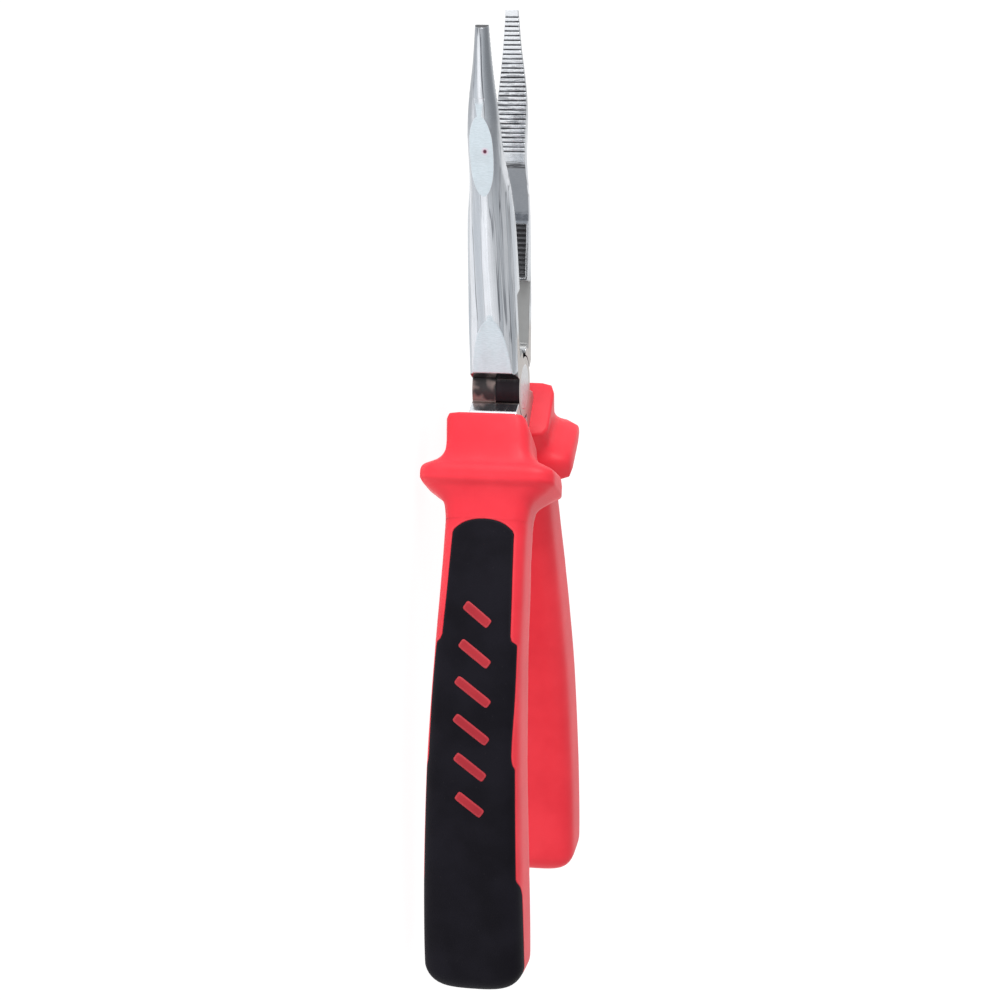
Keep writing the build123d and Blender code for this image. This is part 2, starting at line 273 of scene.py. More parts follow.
def stations():
    """Every row of the sleeve: its place, section table and grip's edge. The end is rounded off."""
    rows = []
    for x in row_positions():
        q, w, n = body_at(x)
        rows.append((x, q, w, n, 0.0))
    base = body_at(END_X + END_ROUND)
    for step in range(1, END_STEPS + 1):
        a = math.pi / 2 * step / END_STEPS
        inset = END_ROUND * (1 - math.cos(a))
        x = END_X + END_ROUND - END_ROUND * math.sin(a)
        rows.append((x, base[0] - inset, base[1] - inset, base[2], a))
    made = []
    for x, q, w, n, turn in rows:
        centre, tangent, normal = spine_at(x)
        z, d, length = section_table(q, w, n)
        made.append({
            "x": x, "centre": centre, "tangent": tangent, "normal": normal, "drift": drift_at(x),
            "z": z, "d": d, "length": length, "turn": turn,
            "depth_full": base[0] if turn else q, "width_full": base[1] if turn else w,
            "edge": {side: panel_length(x, z, length, side) for side in (1, -1)},
            "bow": END_BOW * min(1.0, max(0.0, (BOW_START - x) / BOW_LENGTH)) ** 2,
            "slide_out": table_at(SLIDE_OUT, x), "slide_in": table_at(SLIDE_IN, x),
            "corner": table_at(CORNER, x)})
    return made


def section_point(row, a, drop):
    """Across and out from the row's centre at distance a round the section, sunk by drop."""
    length = row["length"]
    z, d = float(np.interp(a, length, row["z"])), float(np.interp(a, length, row["d"]))
    if not drop:
        return z, d
    span = [a - SLOPE_REACH, a + SLOPE_REACH]
    z0, z1 = np.interp(span, length, row["z"])
    d0, d1 = np.interp(span, length, row["d"])
    if span[0] < 0:
        z0, d0 = -z1, d1
    if span[1] > length[-1]:
        z1, d1 = -z0, d0
    tz, td = z1 - z0, d1 - d0
    size = math.hypot(tz, td) or 1.0
    return z + drop * td / size, d - drop * tz / size


def surface_point(row, l, drop=0.0):
    """Point at signed distance l round the section, sunk by drop along the surface's inward normal."""
    side = -1 if l < 0 else 1
    z, d = section_point(row, abs(l), drop)
    centre, normal, along = row["centre"], row["normal"], row["tangent"]
    inward = 0.5 - 0.5 * max(-1.0, min(1.0, d / row["d"][0]))
    slide = row["slide_out"] * (1 - inward) + row["slide_in"] * inward
    slide += row["bow"] * (0.5 + 0.5 * d / row["depth_full"]) * abs(z / row["width_full"]) ** BOW_POWER
    if side < 0:
        z -= row["corner"] * z / row["width_full"]
    place = centre + normal * d - along * slide
    return [place[0], place[1], side * z + row["drift"]]


def sunk_point(row, l, depth):
    """Point at a depth under the surface. At the rounded end the depth turns to lie along the handle."""
    p = surface_point(row, l, depth * math.cos(row["turn"]))
    back = depth * math.sin(row["turn"])
    return [p[0] - row["tangent"][0] * back, p[1] - row["tangent"][1] * back, p[2]]


def edge_lines(rows):
    """The grip's edge on each side, unrolled flat: (distance along, distance round)."""
    along, lines, previous = 0.0, {1: [], -1: []}, None
    for r in rows:
        if previous is not None:
            along += float(np.hypot(*(r["centre"] - previous)))
        previous = r["centre"]
        r["along"] = along
        if r["x"] <= PANEL[0][0] + 1e-6 and r["x"] > END_X + EDGE_STOP:
            for k in lines:
                lines[k].append((along, r["edge"][k]))
    return {k: np.array(v) for k, v in lines.items()}


def edge_distance(lines, along, l):
    """Shortest way from a point to the grip's edge on its side."""
    line = lines[-1 if l < 0 else 1]
    p = np.array([along, abs(l)])
    a, b = line[:-1], line[1:]
    ab = b - a
    t = np.clip(((p - a) * ab).sum(1) / np.maximum((ab * ab).sum(1), 1e-12), 0, 1)
    near = a + ab * t[:, None]
    return float(np.sqrt(((near - p) ** 2).sum(1)).min())


def rounding(distance):
    """How far the rounded edge has dropped at a distance from the grip's edge."""
    if distance >= ROUND:
        return 0.0
    return ROUND - math.sqrt(max(ROUND ** 2 - (ROUND - distance) ** 2, 0.0))


def inside_columns(edge):
    """Distances from the outer middle out to the grip's edge, close together near it."""
    rim = min(EDGE_STRIP, edge * 0.5)
    plain = [i / INSIDE_STEPS * (edge - rim) for i in range(INSIDE_STEPS + 1)]
    return plain + [edge - rim * k for k in EDGE_STEPS[::-1]]


def outside_columns(edge, half):
    """Distances from the grip's edge out to the inner middle, close together near the edge."""
    rest = half - edge
    rim = min(EDGE_STRIP, rest * 0.5)
    near = [edge + rim * k for k in EDGE_STEPS]
    return near + [edge + rim + (rest - rim) * i / OUTSIDE_STEPS for i in range(OUTSIDE_STEPS + 1)]


def is_wrapped(row):
    """True where the black grip goes all the way round."""
    return row["edge"][1] >= row["length"][-1] * WRAPPED


def tube_faces(row_count, width):
    """Faces between closed rings of the same width."""
    faces = []
    for i in range(row_count - 1):
        for j in range(width):
            a, b = i * width + j, i * width + (j + 1) % width
            faces.append((a, b, b + width, a + width))
    return faces


def sleeve_ring(row, lines):
    """One ring of the red sleeve: its skin, and the floor of the recess where black lies over it."""
    half, edge = row["length"][-1], row["edge"]

    def skin(l):
        if is_wrapped(row):
            return sunk_point(row, l, SKIN)
        return surface_point(row, l, rounding(edge_distance(lines, row["along"], l)))

    ring = [skin(l) for l in outside_columns(edge[1], half)[::-1]]
    for share in UNDER_GRIP:
        l = share * edge[1 if share > 0 else -1]
        ring.append(sunk_point(row, l, SKIN) if edge[1] > 0 else skin(0.0))
    ring += [skin(-l) for l in outside_columns(edge[-1], half)]
    return ring[:-1]


def add_block_top(points, faces, width, row):
    """Close the jaw end of the sleeve: a small rounded edge, then the flat top."""
    head = []
    for step in range(1, BLOCK_STEPS + 1):
        a = math.pi / 2 * step / BLOCK_STEPS
        head.append((BLOCK_EDGE * math.sin(a), BLOCK_EDGE * (1 - math.cos(a))))
    centre = np.array([row["centre"][0], row["centre"][1], row["drift"]])
    offset = np.array(points[:width]) - centre
    size = np.linalg.norm(offset, axis=1, keepdims=True)
    previous = 0
    for forward, inset in head + [(BLOCK_EDGE, BLOCK_FLAT)]:
        moved = centre + offset * (1 - inset / size)
        moved[:, :2] -= row["tangent"] * forward
        start = len(points)
        points += [list(p) for p in moved]
        for j in range(width):
            n = (j + 1) % width
            faces.append((start + j, start + n, previous + n, previous + j))
        previous = start
    points.append(list(moved.mean(axis=0)))
    for j in range(width):
        faces.append((len(points) - 1, previous + (j + 1) % width, previous + j))


def sleeve_mesh(rows, lines):
    """Red sleeve: outer skin with a recess for the black grip, as rings from the block to the end."""
    points = []
    for row in rows:
        ring = sleeve_ring(row, lines)
        width = len(ring)
        points += ring
    faces = tube_faces(len(rows), width)
    add_block_top(points, faces, width, rows[0])
    # handle end, under the black grip
    last = (len(rows) - 1) * width
    centre = rows[-1]["centre"] - rows[-1]["tangent"] * SKIN
    points.append([centre[0], centre[1], rows[-1]["drift"]])
    for j in range(width):
        faces.append((last + j, last + (j + 1) % width, len(points) - 1))
    return points, faces


def add_end_cap(points, faces, start, width, row, sink, bulge):
    """Close one surface of the black grip over the handle end, in shrinking rings."""
    way = np.array([row["tangent"][0], row["tangent"][1], 0.0])
    middle = np.array([row["centre"][0], row["centre"][1], row["drift"]]) - way * sink
    out = np.array(points[start:start + width]) - middle
    along = out @ way
    level = out - along[:, None] * way
    previous = start
    for share in CAP_RINGS:
        push = along * share ** 2 + bulge * (1 - share ** 2)
        moved = middle + level * share + push[:, None] * way
        here = len(points)
        points += [list(p) for p in moved]
        for j in range(width - 1):
            faces.append((previous + j, previous + j + 1, here + j + 1, here + j))
        previous = here


def grip_mesh(rows, lines):
    """Black soft grip: a skin with rounded edges over the recess, closed round the handle end."""
    used = [row for row in rows if row["edge"][1] > 0]
    outer, inner = [], []
    for row in used:
        columns = [-l for l in inside_columns(row["edge"][-1])[:0:-1]] + inside_columns(row["edge"][1])
        width = len(columns)
        for l in columns:
            drop = 0.0 if is_wrapped(row) else rounding(edge_distance(lines, row["along"], l))
            outer.append(surface_point(row, l, drop))
            inner.append(sunk_point(row, l, SKIN + RECESS_PLAY))
    count, shift = len(used), len(outer)
    faces = []
    for i in range(count - 1):
        for j in range(width - 1):
            a = i * width + j
            faces.append((a, a + 1, a + 1 + width, a + width))
            faces.append((shift + a, shift + a + width, shift + a + 1 + width, shift + a + 1))
        for a, b in ((i * width, (i + 1) * width), ((i + 1) * width - 1, (i + 2) * width - 1)):
            faces.append((a, b, shift + b, shift + a))
    for j in range(width - 1):
        faces.append((j, j + 1, shift + j + 1, shift + j))
    points = outer + inner
    last = (count - 1) * width
    add_end_cap(points, faces, last, width, used[-1], 0.0, 0.2)
    add_end_cap(points, faces, shift + last, width, used[-1], SKIN + RECESS_PLAY, 0.0)
    return points, faces


def mark_mesh(cx, length):
    """One slanted bar on the outer face, its edge rounded, following the grip's surface."""
    points, faces = [], []
    for size, lift in MARK_EDGE:
        inset = (1 - size) * MARK_HALF
        for k in range(MARK_POINTS):
            a = 2 * math.pi * k / MARK_POINTS
            u = MARK_HALF * math.copysign(abs(math.cos(a)) ** (2 / MARK_SIDE_SQUARE), math.cos(a))
            v = length / 2 * math.copysign(abs(math.sin(a)) ** (2 / MARK_END_SQUARE), math.sin(a))
            u -= math.copysign(min(abs(u), inset), u)
            v -= math.copysign(min(abs(v), inset), v)
            x = cx + u * math.cos(MARK_TILT) + v * math.sin(MARK_TILT)
            z = -u * math.sin(MARK_TILT) + v * math.cos(MARK_TILT)
            centre, _, normal = spine_at(x)
            q, w, n = body_at(x)
            d = q * (1 - min(abs(z) / w, 0.999) ** n) ** (1 / n) + lift
            points.append([centre[0] + normal[0] * d, centre[1] + normal[1] * d, z + drift_at(x)])
    for i in range(len(MARK_EDGE) - 1):
        for k in range(MARK_POINTS):
            a, b = i * MARK_POINTS + k, i * MARK_POINTS + (k + 1) % MARK_POINTS
            faces.append((a, b, b + MARK_POINTS, a + MARK_POINTS))
    faces.append(tuple(range(MARK_POINTS))[::-1])
    return points, faces


def joined(meshes):
    """Several point and face lists as one."""
    points, faces = [], []
    for more_points, more_faces in meshes:
        shift = len(points)
        points = points + more_points
        faces = faces + [tuple(shift + i for i in f) for f in more_faces]
    return points, faces


def handle_pieces(half, materials):
    """Red sleeve, black grip and bars of one half, in place of its CAD sleeve and grip."""
    rows = stations()
    lines = edge_lines(rows)
    sleeve = make_object(half + "_insulation", *sleeve_mesh(rows, lines), materials["red"], half)
    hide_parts(half + "_sleeve")
    grip = make_object(half + "_soft_grip", *grip_mesh(rows, lines), materials["black"], half)
    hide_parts(half + "_grip")
    bars = joined([mark_mesh(*m) for m in MARKS])
    marks = make_object(half + "_grip_bars", *bars, materials["bars"], half)


# ---- materials ---------------------------------------------------------------------------------
MIX_SHARE, MIX_A, MIX_B, MIX_OUT = 0, 6, 7, 2         # a mix node's sockets when it mixes colours


class Shader:
    """A node material, with short calls for the nodes used here."""

    def __init__(self, name):
        self.material = bpy.data.materials.new(name)
        self.material.use_nodes = True
        self.tree = self.material.node_tree
        self.tree.nodes.clear()
        output = self.tree.nodes.new("ShaderNodeOutputMaterial")
        self.bsdf = self.tree.nodes.new("ShaderNodeBsdfPrincipled")
        self.tree.links.new(self.bsdf.outputs[0], output.inputs[0])

    def add(self, kind, inputs=None, **settings):
        """New node with its inputs fed and its settings made."""
        node = self.tree.nodes.new(kind)
        for key, value in settings.items():
            setattr(node, key, value)
        for key, value in (inputs or {}).items():
            self.feed(node.inputs[key], value)
        return node

    def feed(self, socket, value):
        """Link a socket's value, or set a plain one on the socket itself."""
        if isinstance(value, bpy.types.NodeSocket):
            self.tree.links.new(value, socket)
        else:
            socket.default_value = value

    def math(self, operation, a, b=0.0):
        """Number worked out from one or two numbers."""
        return self.add("ShaderNodeMath", {0: a, 1: b}, operation=operation).outputs[0]

    def times(self, first, *others):
        """Product of several values."""
        for other in others:
            first = self.math("MULTIPLY", first, other)
        return first

    def vector(self, operation, a, b):
        """Number worked out from two vectors: their dot product or the distance between them."""
        return self.add("ShaderNodeVectorMath", {0: a, 1: b}, operation=operation).outputs["Value"]

    def step(self, value, low, high, out=(0.0, 1.0)):
        """Soft step of value between low and high."""
        node = self.add("ShaderNodeMapRange", interpolation_type="SMOOTHSTEP")
        for key, item in (("Value", value), ("From Min", low), ("From Max", high), ("To Min", out[0]),
                          ("To Max", out[1])):
            self.feed(node.inputs[key], item)
        return node.outputs[0]

    def band(self, value, low, high, soft):
        """One between low and high, zero outside, with soft ends."""
        return self.math("MULTIPLY", self.step(value, low - soft, low + soft),
                         self.step(value, high - soft, high + soft, (1.0, 0.0)))

    def mix(self, share, a, b):
        """Colour on the way from a to b."""
        mixed = self.add("ShaderNodeMix", {MIX_SHARE: share, MIX_A: a, MIX_B: b}, data_type="RGBA")
        return mixed.outputs[MIX_OUT]

    def noise(self, vector, scale, detail, rough):
        """Cloudy number, about one half on average."""
        node = self.add("ShaderNodeTexNoise", {"Vector": vector, "Scale": scale, "Detail": detail,
                                               "Roughness": rough})
        return node.outputs[0]

    def stretch(self, vector, scale):
        """Vector scaled along each axis."""
        return self.add("ShaderNodeMapping", {"Vector": vector, "Scale": scale}).outputs[0]

    def closed(self, half):
        """Position in millimetres and surface direction, in the closed frame of one half."""
        flip = 1 if half == "upper" else -1
        mm = 1 / MM
        where = self.add("ShaderNodeTexCoord").outputs
        turn = (0, 0, -OPEN)
        place = self.add("ShaderNodeMapping", {"Vector": where["Object"], "Rotation": turn,
                                               "Scale": (mm, mm * flip, mm * flip)})
        facing = self.add("ShaderNodeMapping", {"Vector": where["Normal"], "Scale": (1, flip, flip),
                                                "Rotation": turn}, vector_type="VECTOR")
        return place.outputs[0], facing.outputs[0]

    def split(self, vector):
        """The three parts of a vector."""
        return self.add("ShaderNodeSeparateXYZ", {0: vector}).outputs

    def edges(self, radius, low=0.86, high=0.995):
        """One along the corners of the piece, zero on its open faces."""
        bevel = self.add("ShaderNodeBevel", {"Radius": radius}, samples=6).outputs[0]
        face = self.add("ShaderNodeNewGeometry").outputs["Normal"]
        return self.step(self.vector("DOT_PRODUCT", bevel, face), low, high, (1.0, 0.0)), bevel

    def bump(self, height, strength, distance, normal=None):
        """Surface direction that follows a height, on top of another direction where one is given."""
        node = self.add("ShaderNodeBump", {"Height": height, "Strength": strength, "Distance": distance})
        if normal is not None:
            self.feed(node.inputs["Normal"], normal)
        return node.outputs[0]


# Colours of the steel, dark and light where there are two.
POLISHED = (0.52, 0.56, 0.61, 1), (0.84, 0.87, 0.92, 1)
GROUND = (0.61, 0.69, 0.74, 1), (0.71, 0.79, 0.85, 1)
JOINT_FACE = (0.44, 0.41, 0.39, 1), (0.62, 0.59, 0.56, 1)
LAND = (0.74, 0.77, 0.80, 1), (0.86, 0.88, 0.92, 1)
CUTTER = (0.34, 0.34, 0.34, 1), (0.50, 0.51, 0.51, 1)
# painted reflection: thin dark lines on the polished steel, in place of dark surroundings mirrored in it
DARK_REFLECTION_LINE = (0.10, 0.11, 0.13, 1)
FINE_LINE = (0.35, 0.37, 0.41, 1)
SHADED_SIDE = (0.24, 0.26, 0.29, 1)
SCRATCH = (0.14, 0.15, 0.17, 1)
CLOUD = (0.50, 0.52, 0.55, 1)
WORN_CORNER = (0.90, 0.92, 0.96, 1)
# darker colour down in the grooves between the teeth
GROOVE_DARK = (0.025, 0.025, 0.03, 1)
# painted shadow in the scoop on the mating face
SCOOP_SHADOW = (0.10, 0.115, 0.14, 1)
# painted shadow and painted reflection in the joint's window: near black, with brownish patches on the
# lower half and darker ones on the upper
WINDOW_SHADOW = (0.014, 0.009, 0.009, 1)
WINDOW_REFLECTION = {"upper": (0.045, 0.028, 0.026, 1), "lower": (0.30, 0.23, 0.21, 1)}
PIT = (0.16, 0.17, 0.19, 1)
# painted shadow: dark line along the edge over the window
LIP_SHADOW = (0.03, 0.025, 0.03, 1)
DOT_RIM, DOT = (0.86, 0.42, 0.56, 1), (0.10, 0.008, 0.030, 1)
# The other colours, in the same way.
RIVET, RIVET_CORNER = ((0.46, 0.47, 0.49, 1), (0.68, 0.69, 0.70, 1)), (0.85, 0.86, 0.88, 1)
RED = (0.79, 0.024, 0.044, 1), (0.87, 0.035, 0.057, 1)
BAR_RED = (0.36, 0.010, 0.022, 1), (0.44, 0.018, 0.030, 1)
RED_CORNER, RED_SPECK = (0.96, 0.13, 0.15, 1), (0.50, 0.02, 0.03, 1)
BLACK = (0.0042, 0.0036, 0.0066, 1), (0.0078, 0.0070, 0.0116, 1)
BLACK_CORNER, DUST = (0.034, 0.032, 0.037, 1), (0.045, 0.043, 0.048, 1)
FLOOR = (0.13, 0.13, 0.13, 1), (0.14, 0.14, 0.14, 1)

# Zones of the forging, in the closed frame of its half.
GROUND_SPAN = (42.0, 62.5)            # ground flat on the back of the nose, along x
GROUND_TILT = math.atan2(4.30 - 7.75, 60.5 - 43.0)
GROUND_LEAN = math.radians(6.0)
GROUND_NORMAL = (-math.cos(GROUND_LEAN) * math.sin(GROUND_TILT),
                 math.cos(GROUND_LEAN) * math.cos(GROUND_TILT),
                 -math.sin(GROUND_LEAN))
GROUND_DOT = (53.3, 5.72, 0.30)       # middle of the painted dot on it
JOINT_SIDE = (4.86, 4.89)             # the joint's flat faces lie this far from the middle plane
RELIEF_SPAN, RELIEF_Y = (6.0, 19.5), (8.60, 8.68)     # triangular flat on the head
TOOTHED_FROM = (21.9, 22.4)
SCOOP_SPAN = (34.2, 44.9)
CUTTER_SPAN, CUTTER_Y = (8.0, 22.0), (3.3, 3.6)
SCRATCHED_SPAN = (51.0, 66.5)
WINDOW_RADIUS = (6.9, 7.5)            # wall round the pivot, seen through the joint's window
LIP_X, LIP_Y = (6.15, 6.50), (5.0, 5.4)               # edge over that window, where a line of shadow is painted
DOWN = (1.0, 0.0)                     # ends of a step that falls


def steel_zones(s, place, facing):
    """Masks that say where each finish lies, and where shade and reflection are painted."""
    x, y, z = s.split(place)
    side = s.math("ABSOLUTE", z)
    lean = s.math("ABSOLUTE", s.split(facing)[2])
    upright = s.step(lean, 0.35, 0.6, DOWN)
    ground = s.times(s.step(s.vector("DOT_PRODUCT", facing, GROUND_NORMAL), 0.9960, 0.9985),
                     s.band(x, *GROUND_SPAN, 0.5))
    joint = s.times(s.step(side, *JOINT_SIDE), s.step(x, 12.0, 17.0, DOWN))
    relief = s.times(s.band(x, *RELIEF_SPAN, 0.3), s.step(y, *RELIEF_Y))
    mating = s.times(s.step(y, 1.9, 2.6, DOWN), upright)
    radius = s.math("SQRT", s.math("ADD", s.times(x, x), s.times(y, y)))
    return {
        "lean": lean,
        "joint": joint,
        "matte": s.math("MAXIMUM", s.math("MAXIMUM", ground, joint), relief),
        "mating": mating,
        "toothed": s.times(mating, s.step(x, *TOOTHED_FROM)),
        "scoop": s.times(s.band(x, *SCOOP_SPAN, 0.35), mating),
        "cutter": s.times(s.step(y, *CUTTER_Y, DOWN), s.band(x, *CUTTER_SPAN, 0.2)),
        "window": s.times(s.step(radius, *WINDOW_RADIUS, DOWN), s.step(lean, 0.4, 0.6, DOWN)),
        "lip": s.times(s.step(x, *LIP_X, DOWN), s.step(y, *LIP_Y), s.math("SUBTRACT", 1.0, joint)),
    }


def steel_marks(s, place):
    """Marks of working and wear: long polishing streaks, cross grinding, scratches, clouds and pits; the
    thin dark lines along the streaks are painted reflection.
    """
    x, y, z = s.split(place)
    across = s.math("ADD", z, s.times(x, 0.014))
    straight = s.add("ShaderNodeCombineXYZ", {0: s.times(x, 0.0012), 1: s.times(y, 0.22), 2: across})
    streak = s.noise(straight.outputs[0], 0.85, 3.0, 0.5)
    patchy = s.noise(s.stretch(place, (0.05, 0.3, 0.3)), 1.0, 2.0, 0.5)
    thin = s.step(s.math("ABSOLUTE", s.math("SUBTRACT", streak, 0.50)), 0.005, 0.026, DOWN)
    return {
        "streak": streak,
        "line": s.times(thin, s.step(patchy, 0.38, 0.55, (0.35, 1.0))),
        "fine": s.noise(s.stretch(place, (0.03, 1.0, 1.0)), 6.0, 3.0, 0.5),
        "grind": s.noise(s.stretch(place, (2.6, 0.6, 0.35)), 3.4, 3.0, 0.6),
        "scratch": s.noise(s.stretch(place, (2.4, 0.5, 0.22)), 1.6, 3.0, 0.7),
        "cloud": s.noise(place, 0.20, 3.0, 0.5),
        "pits": s.step(s.noise(place, 3.0, 2.0, 0.6), 0.70, 0.80),
    }


def steel_finishes(s, x, zone, mark):
    """Colour of the polished, ground and mating surfaces."""
    ground_grain = s.step(mark["grind"], 0.3, 0.7)
    polished = s.mix(s.step(mark["streak"], 0.36, 0.64), *POLISHED)
    # painted reflection: thin dark lines along the polishing streaks
    polished = s.mix(s.times(mark["line"], 0.88), polished, DARK_REFLECTION_LINE)
    polished = s.mix(s.step(mark["fine"], 0.45, 0.75, (0.0, 0.18)), polished, FINE_LINE)
    # painted shade: polished steel darker on faces that turn to the sides, more so towards the nose
    shade = s.times(s.step(zone["lean"], 0.30, 0.90), s.step(x, 40.0, 62.0, (0.15, 0.85)))
    polished = s.mix(shade, polished, SHADED_SIDE)
    bare = s.mix(ground_grain, *GROUND)
    bare = s.mix(zone["joint"], bare, s.mix(ground_grain, *JOINT_FACE))
    land = s.mix(ground_grain, *LAND)
    scratched = s.times(s.step(mark["scratch"], 0.49, 0.57), s.band(x, *SCRATCHED_SPAN, 2.5))
    land = s.mix(s.times(scratched, 0.72), land, SCRATCH)
    return s.mix(zone["mating"], s.mix(zone["matte"], polished, bare), land)


def steel_dirt_and_painted_shade(s, half, place, zone, mark, groove_dark, colour):
    """Grooves darker between the teeth, painted shadow in the scoop, painted shadow and painted reflection
    in the window, painted shadow along the lip over it, pits and the painted dot.
    """
    x = s.split(place)[0]
    clean_scoop = s.math("SUBTRACT", 1.0, zone["scoop"])
    # darker down in the grooves between the teeth, left out in the scoop
    colour = s.mix(s.times(groove_dark, 0.90, clean_scoop), colour, GROOVE_DARK)
    # painted shadow in the scoop, a little darker towards its middle
    shadow = s.times(zone["scoop"], s.step(x, 35.0, 44.5, (0.70, 0.66)))
    colour = s.mix(shadow, colour, SCOOP_SHADOW)
    # painted shadow in the window round the pivot, broken by patches of painted reflection
    window_patches = s.math("ADD", s.noise(place, 0.30, 2.0, 0.5), s.times(x, -0.05))
    window_paint = s.mix(s.step(window_patches, 0.46, 0.66), WINDOW_SHADOW, WINDOW_REFLECTION[half])
    colour = s.mix(s.times(zone["window"], 0.93), colour, window_paint)
    colour = s.mix(s.times(mark["pits"], 0.25), colour, PIT)
    # painted shadow along the edge over the window
    colour = s.mix(s.times(zone["lip"], 0.92), colour, LIP_SHADOW)
    dot = s.vector("DISTANCE", place, GROUND_DOT)
    colour = s.mix(s.step(dot, 0.45, 0.95, (0.35, 0.0)), colour, DOT_RIM)
    return s.mix(s.step(dot, 0.26, 0.50, (0.94, 0.0)), colour, DOT)


def steel_material(half):
    """Forged steel: long polishing streaks, ground flats, grooves darker between the teeth and bright worn
    corners, with painted shade and painted reflection in places.
    """
    s = Shader("forged_steel_" + half)
    place, facing = s.closed(half)
    x, y, _ = s.split(place)
    zone, mark = steel_zones(s, place, facing), steel_marks(s, place)
    corner, soft_normal = s.edges(0.00035)
    # darker further down in the grooves between the teeth
    groove_dark = s.times(zone["toothed"], s.step(s.math("ADD", y, s.times(mark["scratch"], 0.42)), 0.46, 0.64))

    colour = steel_finishes(s, x, zone, mark)
    colour = s.mix(s.step(mark["cloud"], 0.45, 0.75, (0.0, 0.22)), colour, CLOUD)
    colour = s.mix(s.times(corner, 0.45), colour, WORN_CORNER)
    colour = s.mix(zone["cutter"], colour, s.mix(mark["cloud"], *CUTTER))
    s.feed(s.bsdf.inputs["Base Color"], steel_dirt_and_painted_shade(s, half, place, zone, mark, groove_dark, colour))
    s.bsdf.inputs["Metallic"].default_value = 1.0

    rough = s.math("ADD", s.step(mark["streak"], 0.25, 0.75, (0.24, 0.15)), s.times(zone["matte"], 0.22))
    rough = s.math("ADD", rough, s.times(s.step(mark["fine"], 0.3, 0.7), 0.05))
    rougher_spots = s.math("MAXIMUM", s.math("MAXIMUM", groove_dark, zone["cutter"]), zone["window"])
    s.feed(s.bsdf.inputs["Roughness"], s.math("ADD", rough, s.times(rougher_spots, 0.30)))

    lines = s.math("ADD", s.times(mark["streak"], 0.6), s.times(mark["fine"], 0.2))
    height = s.math("ADD", s.times(lines, s.math("SUBTRACT", 1.0, zone["matte"])),
                    s.times(mark["grind"], zone["matte"]))
    s.feed(s.bsdf.inputs["Normal"], s.bump(height, 0.35, 0.00004, soft_normal))
    return s.material


def rivet_material():
    """Turned rivet head, with fine rings round the pivot."""
    s = Shader("turned_rivet_steel")
    place, _ = s.closed("upper")
    x, y, _ = s.split(place)
    radius = s.math("SQRT", s.math("ADD", s.times(x, x), s.times(y, y)))
    rings = s.math("SINE", s.times(radius, 34.0))
    wobble = s.noise(place, 1.4, 4.0, 0.6)
    corner, soft_normal = s.edges(0.0004)
    colour = s.mix(s.step(wobble, 0.3, 0.7), *RIVET)
    colour = s.mix(s.times(corner, 0.5), colour, RIVET_CORNER)
    s.feed(s.bsdf.inputs["Base Color"], colour)
    s.bsdf.inputs["Metallic"].default_value = 1.0
    s.feed(s.bsdf.inputs["Roughness"], s.step(wobble, 0.2, 0.8, (0.26, 0.44)))
    height = s.math("ADD", s.times(rings, 0.5), wobble)
    s.feed(s.bsdf.inputs["Normal"], s.bump(height, 0.35, 0.00003, soft_normal))
    return s.material


def red_material(name, dark, light):
    """Moulded red plastic: faint clouds, fine grain, small specks and corners rubbed lighter."""
    s = Shader(name)
    place = s.stretch(s.add("ShaderNodeTexCoord").outputs["Object"], (1 / MM, 1 / MM, 1 / MM))
    cloud = s.noise(place, 0.09, 3.0, 0.5)
    grain = s.noise(place, 5.5, 3.0, 0.6)
    orange_peel = s.noise(place, 1.1, 2.0, 0.5)
    specks = s.step(s.noise(place, 2.3, 2.0, 0.6), 0.70, 0.80)
    corner = s.edges(0.0009, 0.90, 0.998)[0]
    colour = s.mix(s.step(cloud, 0.3, 0.7), dark, light)
    colour = s.mix(s.times(corner, 0.30), colour, RED_CORNER)
    colour = s.mix(s.times(specks, 0.20), colour, RED_SPECK)
    s.feed(s.bsdf.inputs["Base Color"], colour)
    rough = s.math("SUBTRACT", s.step(grain, 0.25, 0.75, (0.42, 0.54)), s.times(corner, 0.08))
    s.feed(s.bsdf.inputs["Roughness"], rough)
    s.bsdf.inputs["Specular IOR Level"].default_value = 0.32
    s.bsdf.inputs["Subsurface Weight"].default_value = 0.12
    s.bsdf.inputs["Subsurface Radius"].default_value = (0.004, 0.0012, 0.001)
    s.bsdf.inputs["Subsurface Scale"].default_value = 0.6
    height = s.math("ADD", s.times(grain, 0.35), s.times(orange_peel, 0.65))
    s.feed(s.bsdf.inputs["Normal"], s.bump(height, 0.30, 0.00008))
    return s.material


